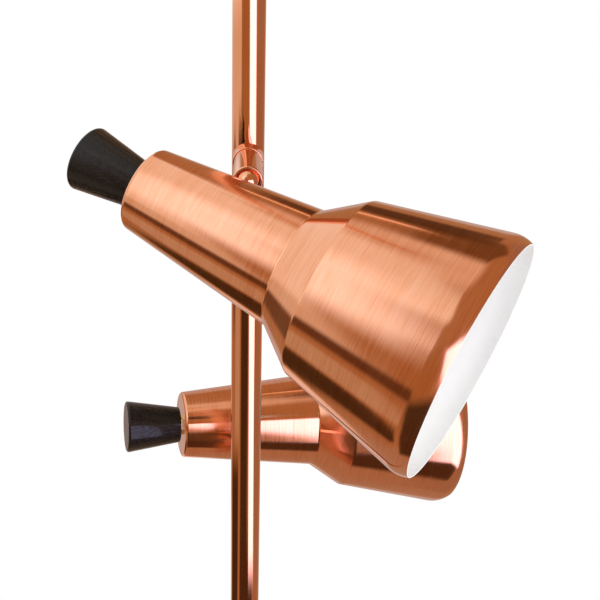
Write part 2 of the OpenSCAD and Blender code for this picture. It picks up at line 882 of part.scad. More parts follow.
module bulb_cap_form() {
    cone_s = cap_low_s + tip_h;
    barrel_s = cone_s + cap_cone_h;
    color(steel) difference() {
        union() {
            translate([0, 0, cap_low_s]) cylinder(h = tip_h + over, r = tip_r);
            translate([0, 0, cone_s])
                cylinder(h = cap_cone_h, r1 = cap_r * cap_cone_share, r2 = cap_r);
            translate([0, 0, barrel_s]) cylinder(h = cap_end_s - barrel_s, r = cap_r);
        }
        translate([0, 0, barrel_s])
            cylinder(h = cap_end_s - barrel_s + over, r = cap_r - cap_wall);
    }
}

// The glass runs from the cap up a concave neck into the globe, as one outline
function glass_outline(grow) =
    let (
        neck = glass_neck_r + grow,
        globe = globe_r + grow,
        low = cap_end_s - glass_seat + fit_gap,
        meet = 55,
        meet_r = globe * sin(180 - meet),
        meet_s = globe_s + globe * cos(180 - meet))
    concat(
        [[neck, low]],
        [for (i = [0:glass_steps])
            let (t = i / glass_steps, k = (1 - cos(180 * t)) / 2)
            [neck + (meet_r - neck) * t * t * (1 + k * (1 - t)), cap_end_s + (meet_s - cap_end_s) * t]],
        [for (i = [1:glass_steps - 1])
            let (a = (180 - meet) * (1 - i / glass_steps))
            [globe * sin(a), globe_s + globe * cos(a)]],
        [[0, globe_s + globe]]);

module bulb_glass_form() {
    color(opal) rotate_extrude()
        polygon(concat(glass_outline(0), reversed(glass_outline(-glass_wall))));
}

module head_leads_form() {
    start = [free_gap - stem_end_x, 0, stem_place];
    pull = stem_end_x / 2;
    lug_s = switch_end_s + lug_len + free_gap;
    tail_s = holder_s - bracket_t - tail_len;
    color(sheath) {
        sweep(curve(start, start + [pull, 0, 0], [-lug_x, 0, lug_s + pull], [-lug_x, 0, lug_s],
            lead_steps), head_lead_r, [0, 1, 0], lead_sides);
        sweep(concat(
            curve([lug_x, 0, lug_s], [lug_x, 0, lug_s + pull], [0, 0, tail_s - pull],
                [0, 0, tail_s - free_gap], lead_steps),
            [[0, 0, holder_s - bracket_t]]), head_lead_r, [0, 1, 0], lead_sides);
    }
}

module switch_body_form() {
    color(black_plastic) difference() {
        union() {
            translate([0, 0, switch_s + switch_len / 2])
                cube([switch_w, switch_w, switch_len], center = true);
            translate([0, 0, -bushing_out]) cylinder(h = bushing_out + switch_s + over, r = bushing_r);
            for (side = [-1, 1])
                translate([side * lug_x, 0, switch_end_s + lug_len / 2 - over / 2])
                    cube([lug_t, lug_w, lug_len + over], center = true);
        }
        for (a = [0:90:270])
            rotate([0, 0, a]) translate([switch_w / 2, switch_w / 2, switch_s - over])
                rotate([0, 0, 45]) cube([2 * switch_edge, 2 * switch_edge, 3 * switch_len], center = true);
        translate([0, 0, -bushing_out - over])
            cylinder(h = bushing_out + switch_s + shaft_in + over, r = shaft_r + run_gap);
    }
}

module switch_nut_form() {
    color(brass) translate([0, 0, -switch_nut_h]) difference() {
        cylinder(h = switch_nut_h, r = switch_nut_r, $fn = 6);
        translate([0, 0, -over]) cylinder(h = switch_nut_h + 2 * over, r = bushing_r + fit_gap);
    }
}

module switch_shaft_form() {
    shaft_low = insert_floor + free_gap - insert_s - insert_len;
    shaft_high = switch_s + shaft_in - free_gap;
    color(steel) translate([0, 0, shaft_low]) cylinder(h = shaft_high - shaft_low, r = shaft_r);
}

module knob_insert_form() {
    color(brass) translate([0, 0, -insert_s - insert_len]) difference() {
        cylinder(h = insert_len, r = insert_r);
        translate([0, 0, insert_floor]) cylinder(h = insert_len, r = shaft_r + fit_gap);
    }
}

module knob_form() {
    end = knob_gap + knob_len;
    rim = bend([knob_front_r, -knob_gap], [knob_rear_r, -end], [0, -end], knob_edge_r);
    color(black_wood) difference() {
        rotate_extrude($fn = shell_fn)
            polygon(concat([[0, -knob_gap], [knob_front_r, -knob_gap]], rim, [[0, -end]]));
        translate([0, 0, -insert_s]) cylinder(h = knob_recess_h + over, r = knob_recess_r);
        translate([0, 0, -insert_s - insert_len])
            cylinder(h = insert_len + over, r = insert_r + fit_gap);
    }
}

module upper_saddle() at_upper() saddle_form();
module upper_nipple() at_upper() nipple_form();
module upper_socket() at_upper() socket_form();
module upper_socket_ring() at_upper() socket_ring_form();
module upper_ball_stem() at_upper_ball() ball_stem_form();
module upper_stem_lead() at_upper_ball() stem_lead_form();
module upper_stem_nut() at_upper_ball() stem_nut_form();
module upper_stem_washer() at_upper_head() stem_washer_form();
module upper_shell() at_upper_head() shell_form();
module upper_holder_bracket() at_upper_head() holder_bracket_form();
module upper_lampholder() at_upper_head() lampholder_form();
module upper_bulb_cap() at_upper_head() bulb_cap_form();
module upper_bulb_glass() at_upper_head() bulb_glass_form();
module upper_head_leads() at_upper_head() head_leads_form();
module upper_switch_body() at_upper_head() switch_body_form();
module upper_switch_nut() at_upper_head() switch_nut_form();
module upper_switch_shaft() at_upper_head() switch_shaft_form();
module upper_knob_insert() at_upper_head() knob_insert_form();
module upper_knob() at_upper_head() knob_form();

module lower_saddle() at_lower() saddle_form();
module lower_nipple() at_lower() nipple_form();
module lower_socket() at_lower() socket_form();
module lower_socket_ring() at_lower() socket_ring_form();
module lower_ball_stem() at_lower_ball() ball_stem_form();
module lower_stem_lead() at_lower_ball() stem_lead_form();
module lower_stem_nut() at_lower_ball() stem_nut_form();
module lower_stem_washer() at_lower_head() stem_washer_form();
module lower_shell() at_lower_head() shell_form();
module lower_holder_bracket() at_lower_head() holder_bracket_form();
module lower_lampholder() at_lower_head() lampholder_form();
module lower_bulb_cap() at_lower_head() bulb_cap_form();
module lower_bulb_glass() at_lower_head() bulb_glass_form();
module lower_head_leads() at_lower_head() head_leads_form();
module lower_switch_body() at_lower_head() switch_body_form();
module lower_switch_nut() at_lower_head() switch_nut_form();
module lower_switch_shaft() at_lower_head() switch_shaft_form();
module lower_knob_insert() at_lower_head() knob_insert_form();
module lower_knob() at_lower_head() knob_form();

floor_pad();
floor_foot();
foot_screw();
lower_tube();
cord_grommet();
tube_couplers();
middle_tube();
top_tube();
pole_leads();
lock_collet();
lock_nut();
extension_tube();
extension_glide();
spring_seat();
tension_spring();
guide_bush();
plunger_rod();
ceiling_foot();
ceiling_pad();
nipple_nuts();
upper_saddle();
upper_nipple();
upper_socket();
upper_socket_ring();
upper_ball_stem();
upper_stem_lead();
upper_stem_nut();
upper_stem_washer();
upper_shell();
upper_holder_bracket();
upper_lampholder();
upper_bulb_cap();
upper_bulb_glass();
upper_head_leads();
upper_switch_body();
upper_switch_nut();
upper_switch_shaft();
upper_knob_insert();
upper_knob();
lower_saddle();
lower_nipple();
lower_socket();
lower_socket_ring();
lower_ball_stem();
lower_stem_lead();
lower_stem_nut();
lower_stem_washer();
lower_shell();
lower_holder_bracket();
lower_lampholder();
lower_bulb_cap();
lower_bulb_glass();
lower_head_leads();
lower_switch_body();
lower_switch_nut();
lower_switch_shaft();
lower_knob_insert();
lower_knob();
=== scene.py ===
import json
import bpy
import numpy as np
from mathutils import Matrix, Vector


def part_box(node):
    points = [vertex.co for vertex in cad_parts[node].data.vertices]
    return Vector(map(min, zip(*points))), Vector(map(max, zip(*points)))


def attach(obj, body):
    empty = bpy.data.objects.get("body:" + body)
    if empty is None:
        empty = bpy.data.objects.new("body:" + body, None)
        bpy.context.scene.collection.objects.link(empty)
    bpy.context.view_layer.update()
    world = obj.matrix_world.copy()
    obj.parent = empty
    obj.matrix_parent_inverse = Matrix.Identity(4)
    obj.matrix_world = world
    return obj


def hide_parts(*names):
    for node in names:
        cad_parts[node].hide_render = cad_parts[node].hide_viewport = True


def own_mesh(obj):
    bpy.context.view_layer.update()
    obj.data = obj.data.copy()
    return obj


# Tension pole lamp: polished copper pole, two brushed copper spot heads with white insides
# and black wood knobs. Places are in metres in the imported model's own frame, and the sizes
# of turned pieces are in mm.

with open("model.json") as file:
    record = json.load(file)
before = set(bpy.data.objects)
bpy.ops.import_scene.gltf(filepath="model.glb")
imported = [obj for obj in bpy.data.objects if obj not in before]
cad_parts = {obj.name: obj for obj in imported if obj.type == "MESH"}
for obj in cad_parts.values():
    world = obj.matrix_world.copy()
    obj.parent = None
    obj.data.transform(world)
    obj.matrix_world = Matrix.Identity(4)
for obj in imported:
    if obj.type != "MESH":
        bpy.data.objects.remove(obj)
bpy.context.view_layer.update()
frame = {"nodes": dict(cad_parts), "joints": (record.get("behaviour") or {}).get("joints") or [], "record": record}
joints = {joint["name"]: joint for joint in frame["joints"]}
slotOf = {part["node"]: part["material_slot"] for part in frame["record"]["subparts"]}
bodies = frame["record"]["behaviour"]["bodies"]
bodyOf = {node: body for body in bodies for node in bodies[body]}
scene = bpy.context.scene
mm = 0.001
sharpAngle = 0.7    # radians: a steeper edge is shaded sharp
print("frame loaded:", len(frame["nodes"]), "nodes")

# Node helpers


def setInputs(tree, node, inputs):
    for key, value in inputs.items():
        if isinstance(value, bpy.types.NodeSocket):
            tree.links.new(value, node.inputs[key])
        else:
            node.inputs[key].default_value = value


def addNode(tree, kind, inputs, **fields):
    # inputs are sockets or plain values by name or number, fields are the node's own settings
    node = tree.nodes.new("ShaderNode" + kind)
    for field, value in fields.items():
        setattr(node, field, value)
    setInputs(tree, node, inputs)
    return node


def maths(tree, operation, *values):
    return addNode(tree, "Math", dict(enumerate(values)), operation=operation).outputs[0]


def newMaterial(name):
    material = bpy.data.materials.new(name)
    material.use_nodes = True
    tree = material.node_tree
    return material, tree, tree.nodes["Principled BSDF"]


def ramp(tree, source, *stops):
    # stops are (place, colour or grey)
    node = addNode(tree, "ValToRGB", {"Fac": source})
    elements = node.color_ramp.elements
    while len(elements) < len(stops):
        elements.new(0.5)
    for element, (place, tone) in zip(elements, stops):
        element.position = place
        element.color = (*tone, 1) if hasattr(tone, "__len__") else (tone, tone, tone, 1)
    return node.outputs["Color"]


def spread(tree, source, low, high):
    # carries the middle half of a noise to low..high
    return addNode(tree, "MapRange", {"Value": source, "From Min": 0.25, "From Max": 0.75,
                                      "To Min": low, "To Max": high}).outputs["Result"]


def noise(tree, vector, scale, detail=3.0, roughness=0.5):
    # scale is in cells per metre, one number or one for each direction
    if hasattr(scale, "__len__"):
        vector = addNode(tree, "Mapping", {"Vector": vector, "Scale": scale}).outputs["Vector"]
        scale = 1.0
    return addNode(tree, "TexNoise", {"Vector": vector, "Scale": scale, "Detail": detail,
                                      "Roughness": roughness}).outputs["Fac"]


def bump(tree, shader, height, strength, distance, under=None):
    inputs = {"Height": height, "Strength": strength, "Distance": distance}
    if under is not None:
        inputs["Normal"] = under
    node = addNode(tree, "Bump", inputs)
    tree.links.new(node.outputs["Normal"], shader.inputs["Normal"])
    return node.outputs["Normal"]


def localCoordinates(tree, place):
    # Object coordinates seen from a piece's own frame, so that a grain follows the piece
    turn = Matrix([list(row) for row in place[:, :3]]).to_euler()
    source = addNode(tree, "TexCoord", {}).outputs["Object"]
    inputs = {"Vector": source, "Location": tuple(place[:, 3]), "Rotation": turn}
    return addNode(tree, "Mapping", inputs, vector_type="TEXTURE").outputs["Vector"]


# Surface helpers


def placeAt(origin, alongX, alongZ):
    # a 3x4 array: the columns are X, Y, Z and the origin of a local frame
    z = np.array(alongZ, float) / np.linalg.norm(alongZ)
    x = np.array(alongX, float)
    x = x - z * (x @ z)
    x = x / np.linalg.norm(x)
    return np.column_stack([x, np.cross(z, x), z, np.array(origin, float)])


def fillMesh(name, points, quads, uvs, materials, matOf=None):
    # a quad may repeat a corner at a pole, where it becomes a triangle
    keep = quads != np.roll(quads, 1, axis=1)
    counts = keep.sum(1)
    loops = quads[keep]
    mesh = bpy.data.meshes.new(name)
    mesh.vertices.add(len(points))
    mesh.vertices.foreach_set("co", points.astype(np.float32).ravel())
    mesh.loops.add(len(loops))
    mesh.loops.foreach_set("vertex_index", loops.astype(np.int32))
    starts = np.concatenate([[0], np.cumsum(counts)[:-1]])
    mesh.polygons.add(len(counts))
    mesh.polygons.foreach_set("loop_start", starts.astype(np.int32))
    if matOf is not None:
        mesh.polygons.foreach_set("material_index", matOf.astype(np.int32))
    mesh.update(calc_edges=True)
    layer = mesh.uv_layers.new(name="UVMap")
    layer.data.foreach_set("uv", uvs[keep].astype(np.float32).ravel())
    mesh.polygons.foreach_set("use_smooth", np.ones(len(counts), bool))
    mesh.set_sharp_from_angle(angle=sharpAngle)
    mesh.validate()
    for material in materials:
        mesh.materials.append(material)
    piece = bpy.data.objects.new(name, mesh)
    scene.collection.objects.link(piece)
    return piece


def roundedOutline(corners, radii, step=3.0, closed=False, arcSteps=6, edge=0.12):
    # corners are (radius, height) in mm, each rounded by an arc of its own radius, with rows every
    # step along the straights and one close to each end of them, so that flats stay flat in the
    # light. The third column is the number of the corner that a row follows
    corners = np.array(corners, float)
    count = len(corners)
    arcs = []
    for i in range(count):
        b, radius = corners[i], radii[i]
        if radius <= 0 or not (closed or 0 < i < count - 1):
            arcs.append(b[None])
            continue
        a, c = corners[i - 1], corners[(i + 1) % count]
        u, v = (a - b) / np.linalg.norm(a - b), (c - b) / np.linalg.norm(c - b)
        half = np.arccos(np.clip(u @ v, -1, 1)) / 2
        centre = b + (u + v) / np.linalg.norm(u + v) * radius / np.sin(half)
        p, q = b + u * radius / np.tan(half) - centre, b + v * radius / np.tan(half) - centre
        share = np.linspace(0, 1, arcSteps + 1)[:, None]
        fan = p * (1 - share) + q * share
        arcs.append(centre + radius * fan / np.linalg.norm(fan, axis=1, keepdims=True))
    rows = []
    for i in range(count if closed else count - 1):
        here, there = arcs[i], arcs[(i + 1) % count]
        gap = there[0] - here[-1]
        length = np.linalg.norm(gap)
        marks = np.linspace(0, 1, max(2, int(np.ceil(length / step)) + 1))[1:-1]
        if length > 4 * edge:
            marks = np.unique(np.concatenate([[edge / length], marks, [1 - edge / length]]))
        stretch = np.vstack([here, here[-1] + gap * marks[:, None]])
        rows.append(np.column_stack([stretch, np.full(len(stretch), i)]))
    if not closed:
        rows.append(np.append(arcs[-1][-1], count - 1)[None])
    return np.vstack(rows)


def wrapped(name, ring, poles, reach, materials, closed=False, matRows=None, flipped=False):
    # a skin over rows of points, each row once round; at a pole a row is a single point. UV: u is
    # the share of the way round, v is each row's reach in metres
    count, sides = ring.shape[:2]
    index = np.arange(count * sides).reshape(count, sides)
    index[poles] = index[poles][:, :1]
    rows = np.arange(count if closed else count - 1)
    nextRow = (rows + 1) % count
    turn = np.arange(sides)
    nextTurn = (turn + 1) % sides
    quads = np.stack([index[rows][:, turn], index[rows][:, nextTurn],
                      index[nextRow][:, nextTurn], index[nextRow][:, turn]], -1)
    flat = np.zeros((len(rows), sides))
    u0, u1 = flat + turn / sides, flat + (turn + 1) / sides
    v0, v1 = flat + reach[rows][:, None], flat + reach[rows + 1][:, None]
    uvs = np.stack([np.stack(pair, -1) for pair in ((u0, v0), (u1, v0), (u1, v1), (u0, v1))], -2)
    quads, uvs = quads.reshape(-1, 4), uvs.reshape(-1, 4, 2)
    if flipped:
        quads, uvs = quads[:, ::-1], uvs[:, ::-1]
    matOf = None if matRows is None else np.repeat(matRows[rows], sides)
    used, quads = np.unique(quads, return_inverse=True)
    return fillMesh(name, ring.reshape(-1, 3)[used], quads.reshape(-1, 4), uvs, materials, matOf)


def turned(name, outline, place, materials, sides=128, closed=False, matRows=None, reshape=None):
    # point(a, t) = place . (r cos a, r sin a, h), with (r, h) the outline's point at t, or what
    # reshape(r, a, h) makes of it. UV: u is the share of the turn, v the metres along the outline
    count = len(outline)
    angle = np.linspace(0, 2 * np.pi, sides, endpoint=False)[None]
    radius, height = outline[:, :1], outline[:, 1:2]
    poles = radius[:, 0] < 1e-9
    if reshape is not None:
        radius, height = reshape(radius, angle, height)
    ring = np.stack(np.broadcast_arrays(radius * np.cos(angle), radius * np.sin(angle), height), -1) * mm
    rows = np.arange(count if closed else count - 1)
    nextRow = (rows + 1) % count
    legs = np.linalg.norm(outline[nextRow, :2] - outline[rows, :2], axis=1) * mm
    reach = np.concatenate([[0], np.cumsum(legs)])
    # an outline that runs down on its outside would leave the faces inside out
    width = outline[rows, 0] + outline[nextRow, 0]
    climb = outline[nextRow, 1] - outline[rows, 1]
    points = ring @ place[:, :3].T + place[:, 3]
    return wrapped(name, points, poles, reach, materials, closed, matRows, np.sum(width ** 2 * climb) < 0)


def arc(centre, radius, start, end, steps):
    # points of a circle round (0, centre), at angles in degrees from the height axis
    angle = np.radians(np.linspace(start, end, steps + 1))
    return np.stack([radius * np.sin(angle), centre + radius * np.cos(angle)], 1)


def within(height, ends, fade):
    # 1 between two heights, falling to 0 over the last stretch of length fade before each of them
    low, high = ends
    return np.clip((height - low) / fade, 0, 1) * np.clip((high - height) / fade, 0, 1)


def bored(piece, start, along, radius, length, sides=48):
    # a round hole: a Boolean with a turned pin, both sizes in mm
    across = (0, 0, 1) if abs(along[2]) < 0.9 else (1, 0, 0)
    outline = np.array([(0, 0), (radius, 0), (radius, length), (0, length)], float)
    pin = turned("pin", outline, placeAt(start, across, along), [], sides)
    cut = piece.modifiers.new("hole", "BOOLEAN")
    cut.operation, cut.solver, cut.object = "DIFFERENCE", "EXACT", pin
    whole = piece.data
    result = piece.evaluated_get(bpy.context.evaluated_depsgraph_get())
    piece.data = bpy.data.meshes.new_from_object(result)
    piece.modifiers.clear()
    piece.data.name = piece.name
    piece.data.set_sharp_from_angle(angle=sharpAngle)
    bpy.data.meshes.remove(whole)
    bpy.data.meshes.remove(pin.data)


def standFor(piece, node):
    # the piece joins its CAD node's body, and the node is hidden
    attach(piece, bodyOf[node])
    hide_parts(node)


def headPlace(side):
    # X along the stem, Z along the head's axis, origin at the neck's rear face
    knob = joints[side + "_knob_turn"]
    return placeAt(knob["pos_m"], joints[side + "_roll"]["axis"], knob["axis"])


def swivelPlace(side):
    # Z outwards along the swivel, X upwards, origin on the pole's axis
    swivel = joints[side + "_turn"]
    outwards = np.array(swivel["axis"])
    ball = np.array(swivel["pos_m"])
    return placeAt(ball - outwards * (ball @ outwards), (0, 0, 1), outwards)


def stemPlace(side):
    # Z along the stem, origin at the ball's centre
    roll = joints[side + "_roll"]
    return placeAt(joints[side + "_tilt"]["pos_m"], joints[side + "_knob_turn"]["axis"], roll["axis"])


polePlace = placeAt((0, 0, 0), (1, 0, 0), (0, 0, 1))

# Finishes: the scale of a grain is in cells per metre, and the depth of its relief in metres

copperTones = dict(light=(0.95, 0.49, 0.30), base=(0.92, 0.43, 0.24), deep=(0.84, 0.35, 0.17))
polishing = dict(haze=(90.0, 90.0, 14.0), fine=(2600.0, 2600.0, 160.0), roughness=(0.06, 0.10),
                 relief=0.03, depth=0.00005)


def polishedCopper():
    # mirror copper plate with a trace of polishing haze
    z = polishing
    material, tree, shader = newMaterial("polishedCopper")
    coords = addNode(tree, "TexCoord", {}).outputs["Object"]
    haze = noise(tree, coords, z["haze"])
    fine = noise(tree, coords, z["fine"], detail=2.0)
    setInputs(tree, shader, {
        "Base Color": ramp(tree, haze, (0.3, copperTones["base"]), (0.75, copperTones["light"])),
        "Roughness": spread(tree, haze, *z["roughness"]), "Metallic": 1.0})
    bump(tree, shader, fine, z["relief"], z["depth"])
    return material


brushing = dict(around=42.0, along=1150.0, fineAlong=3000.0, bandsAround=3.0, bands=60.0,
                roughness=(0.08, 0.15), anisotropy=0.9, lacquer=0.5, relief=0.1, depth=0.00005)


def brushedCopper(side):
    # spun, then brushed round the axis under clear lacquer: the noise is squeezed along the
    # outline (UV v), so its streaks run round the head
    z = brushing
    material, tree, shader = newMaterial("brushedCopper" + side.capitalize())
    local = addNode(tree, "SeparateXYZ", {"Vector": localCoordinates(tree, headPlace(side))})
    outline = addNode(tree, "SeparateXYZ", {"Vector": addNode(tree, "TexCoord", {}).outputs["UV"]})
    joined = addNode(tree, "CombineXYZ", {"X": local.outputs["X"], "Y": local.outputs["Y"],
                                          "Z": outline.outputs["Y"]}).outputs["Vector"]
    streaks = noise(tree, joined, (z["around"], z["around"], z["along"]), 3.0, 0.6)
    fine = noise(tree, joined, (z["around"] * 2, z["around"] * 2, z["fineAlong"]), 2.0)
    bands = noise(tree, joined, (z["bandsAround"], z["bandsAround"], z["bands"]), 2.0)
    mixed = maths(tree, "MULTIPLY_ADD", fine, 0.4, maths(tree, "MULTIPLY", streaks, 0.6))
    tinted = maths(tree, "MULTIPLY_ADD", bands, 0.3, maths(tree, "MULTIPLY", mixed, 0.7))
    tangent = addNode(tree, "Tangent", {}, direction_type="UV_MAP", uv_map="UVMap")
    setInputs(tree, shader, {
        "Base Color": ramp(tree, tinted, (0.38, copperTones["deep"]), (0.5, copperTones["base"]),
                           (0.62, copperTones["light"])),
        "Roughness": spread(tree, mixed, *z["roughness"]), "Metallic": 1.0,
        "Anisotropic": z["anisotropy"], "Anisotropic Rotation": 0.25,
        "Coat Weight": z["lacquer"], "Coat Roughness": 0.05, "Coat IOR": 1.5,
        "Tangent": tangent.outputs["Tangent"]})
    bump(tree, shader, mixed, z["relief"], z["depth"])
    return material


enamelling = dict(peel=520.0, low=(0.94, 0.94, 0.935), high=(0.96, 0.96, 0.955),
                  roughness=(0.45, 0.6), relief=0.06, depth=0.0001)


def whiteEnamel():
    # matt white stove enamel with a fine orange peel
    z = enamelling
    material, tree, shader = newMaterial("whiteEnamel")
    coords = addNode(tree, "TexCoord", {}).outputs["Object"]
    peel = noise(tree, coords, z["peel"], detail=2.0)
    setInputs(tree, shader, {"Base Color": ramp(tree, peel, (0.3, z["low"]), (0.7, z["high"])),
                             "Roughness": spread(tree, peel, *z["roughness"])})
    bump(tree, shader, peel, z["relief"], z["depth"])
    return material


woodGrain = dict(pores=(1500.0, 1500.0, 260.0), waves=(420.0, 420.0, 230.0), growth=(300.0, 90.0, 26.0),
                 low=(0.003, 0.0025, 0.0022), high=(0.009, 0.0072, 0.0058), roughness=(0.34, 0.18),
                 lacquer=0.3, relief=0.6, waveDepth=0.0007, poreDepth=0.0003)


def blackWood(side):
    # black-stained open-pore wood under satin lacquer: short pores along the knob, and a
    # slightly wavy surface that breaks up its gloss
    z = woodGrain
    material, tree, shader = newMaterial("blackWood" + side.capitalize())
    local = localCoordinates(tree, headPlace(side))
    pores = noise(tree, local, z["pores"], 3.0, 0.65)
    waves = noise(tree, local, z["waves"], 3.0, 0.6)
    growth = noise(tree, local, z["growth"], 4.0, 0.55)
    dips = ramp(tree, pores, (0.34, 0.0), (0.46, 1.0))
    setInputs(tree, shader, {
        "Base Color": ramp(tree, growth, (0.3, z["low"]), (0.7, z["high"])),
        "Roughness": spread(tree, pores, *z["roughness"]), "IOR": 1.3,
        "Coat Weight": z["lacquer"], "Coat Roughness": 0.1})
    wavy = bump(tree, shader, waves, z["relief"], z["waveDepth"])
    bump(tree, shader, dips, z["relief"], z["poreDepth"], wavy)
    return material


def mottledFinish(name, low, high, rough, grain=300.0, relief=0.05, vary=0.06, **surface):
    # a finish whose tone and roughness vary a little, with a fine relief
    material, tree, shader = newMaterial(name)
    coords = addNode(tree, "TexCoord", {}).outputs["Object"]
    mottle = noise(tree, coords, grain)
    setInputs(tree, shader, {"Base Color": ramp(tree, mottle, (0.3, low), (0.7, high)),
                             "Roughness": spread(tree, mottle, rough - vary, rough + vary)})
    setInputs(tree, shader, {key.replace("_", " "): value for key, value in surface.items()})
    bump(tree, shader, mottle, relief, 0.0001)
    return material


copper = polishedCopper()
enamel = whiteEnamel()
rubber = mottledFinish("blackRubber", (0.012, 0.012, 0.012), (0.03, 0.03, 0.03), 0.7, 900.0, 0.2)
blackPlastic = mottledFinish("blackPlastic", (0.010, 0.010, 0.011), (0.022, 0.022, 0.024), 0.35, 800.0)
steel = mottledFinish("zincSteel", (0.55, 0.56, 0.58), (0.68, 0.69, 0.70), 0.32, Metallic=1.0)
brass = mottledFinish("turnedBrass", (0.66, 0.48, 0.22), (0.80, 0.62, 0.32), 0.28, Metallic=1.0)
nylon = mottledFinish("whiteNylon", (0.76, 0.75, 0.70), (0.84, 0.83, 0.79), 0.45, Subsurface_Weight=0.1)
sheath = mottledFinish("whiteSheath", (0.78, 0.78, 0.76), (0.88, 0.88, 0.86), 0.45)
opalGlass = mottledFinish("opalGlass", (0.88, 0.87, 0.84), (0.93, 0.92, 0.89), 0.25, 200.0, 0.0,
                          Subsurface_Weight=0.4, Coat_Weight=1.0, Coat_Roughness=0.03)
# the shells and knobs, the only brushed copper and black wood, are replaced below
finishes = dict(polished_copper=copper, brushed_copper=copper, black_wood=blackPlastic, rubber=rubber,
                black_plastic=blackPlastic, steel=steel, brass=brass, nylon=nylon,
                lead_sheath=sheath, opal_glass=opalGlass)
for nodeName, node in frame["nodes"].items():
    for slot in node.material_slots:
        slot.material = finishes[slotOf[nodeName]]
print("finishes made:", len(finishes))

# Spot heads, in mm along Z from the neck's rear face to the mouth. Rounds are the radii of an
# outline's corners in their order

shellSizes = dict(
    rearHole=5.05, wall=1.0, sides=300, step=2.0, lipRound=0.45,
    corners=[(24.5, 0), (35, 100), (52, 123.5), (70, 201), (67.5, 206.5)],  # radius and distance
    bends=[2.2, 3.5, 4, 17], stemAt=42.5, stemHole=3.26, stemDrill=40.0)


def shifted(corners, distance):
    # the outline's corners moved square to it by distance, mitred at the bends
    legs = np.diff(corners, axis=0)
    normals = np.stack([-legs[:, 1], legs[:, 0]], 1) / np.linalg.norm(legs, axis=1, keepdims=True)
    before, after = np.vstack([normals[:1], normals]), np.vstack([normals, normals[-1:]])
    return corners + (before + after) * distance / (1 + np.sum(before * after, 1))[:, None]


def makeShell(side):
    # the outline of the corners, and the same moved inwards by the wall, turned round the head's axis
    z = shellSizes
    place = headPlace(side)
    outside = np.array([(z["rearHole"], 0)] + z["corners"], float)
    inside = shifted(outside, z["wall"])[::-1]
    radii = [0] + z["bends"] + [z["lipRound"]]
    outline = roundedOutline(np.vstack([outside, inside]), radii + radii[::-1], z["step"], closed=True)
    white = (outline[:, 2] >= len(outside) - 1).astype(int)     # from the lip's edge inwards
    white[outline[:, 2] == len(radii) * 2 - 1] = 0              # the rim of the rear hole
    shell = turned(side + "SpotShell", outline, place, [brushedCopper(side), enamel],
                   z["sides"], closed=True, matRows=white)
    start = place[:, 3] + place[:, 2] * z["stemAt"] * mm
    bored(shell, start, -place[:, 0], z["stemHole"], z["stemDrill"])
    shell.visible_glossy = False    # the pole and the other head mirror the studio alone
    standFor(shell, side + "_shell")


knobSizes = dict(
    gap=1.5, frontRadius=13.2, rearRadius=19.3, length=40.0, sides=160, step=2.0,
    recessRadius=8.8, recess=7.0, insertRadius=5.05, insert=15.0,
    rounds=[0, 0, 0, 0.3, 0.3, 0.6, 1.5, 0])


def makeKnob(side):
    # a cone, wider at the rear, with a recess in its front and in that the brass insert's hole
    z = knobSizes
    end = -z["gap"] - z["length"]
    floor = -z["gap"] - z["recess"]
    corners = [(0, floor - z["insert"]), (z["insertRadius"], floor - z["insert"]),
               (z["insertRadius"], floor), (z["recessRadius"], floor), (z["recessRadius"], -z["gap"]),
               (z["frontRadius"], -z["gap"]), (z["rearRadius"], end), (0, end)]
    outline = roundedOutline(corners, z["rounds"], z["step"])
    knob = turned(side + "TurnKnob", outline, headPlace(side), [blackWood(side)], z["sides"])
    knob.visible_glossy = False    # as the shell
    standFor(knob, side + "_knob")


holderSizes = dict(
    bore=2.15, tail=5.0, tailAt=46.5, rear=53.0, rearRadius=13.65, shoulder=61.0, radius=19.5,
    lipAt=96.0, lipRadius=20.5, end=99.0, mouth=13.6, floor=74.2, step=1.0,
    rounds=[0.2, 0.8, 0.4, 1.5, 3, 0.3, 0.4, 0.8, 0.6, 0.3, 0.2],
    ribs=44, perRib=8, ribDepth=0.5, ribCrest=0.6, ribEnds=(64, 93), ribFade=2.0)


def makeLampholder(side):
    # radius(a) loses ribDepth times a rounded wave round the barrel's outside, between the ribs' ends
    z = holderSizes

    def ribbed(radius, angle, height):
        outside = radius > (z["mouth"] + z["radius"]) / 2
        wave = (0.5 - 0.5 * np.cos(z["ribs"] * angle)) ** z["ribCrest"]
        return radius - z["ribDepth"] * wave * outside * within(height, z["ribEnds"], z["ribFade"]), height

    corners = [(z["bore"], z["tailAt"]), (z["tail"], z["tailAt"]), (z["tail"], z["rear"]),
               (z["rearRadius"], z["rear"]), (z["radius"], z["shoulder"]), (z["radius"], z["lipAt"]),
               (z["lipRadius"], z["lipAt"]), (z["lipRadius"], z["end"]), (z["mouth"], z["end"]),
               (z["mouth"], z["floor"]), (z["bore"], z["floor"])]
    outline = roundedOutline(corners, z["rounds"], z["step"], closed=True)
    holder = turned(side + "BulbHolder", outline, headPlace(side), [blackPlastic], z["ribs"] * z["perRib"],
                    closed=True, reshape=ribbed)
    standFor(holder, side + "_lampholder")


capSizes = dict(
    tip=4.5, tipAt=75.0, tipEnd=77.0, coneRadius=7.26, coneEnd=81.0, radius=13.2, end=100.0, wall=0.5,
    rounds=[0, 0.9, 0.2, 0.5, 1.0, 0.15, 0.15, 0.3, 0], step=0.4, sides=96,
    pitch=3.6, depth=0.9, threadEnds=(82.5, 94.0), threadFade=1.5)


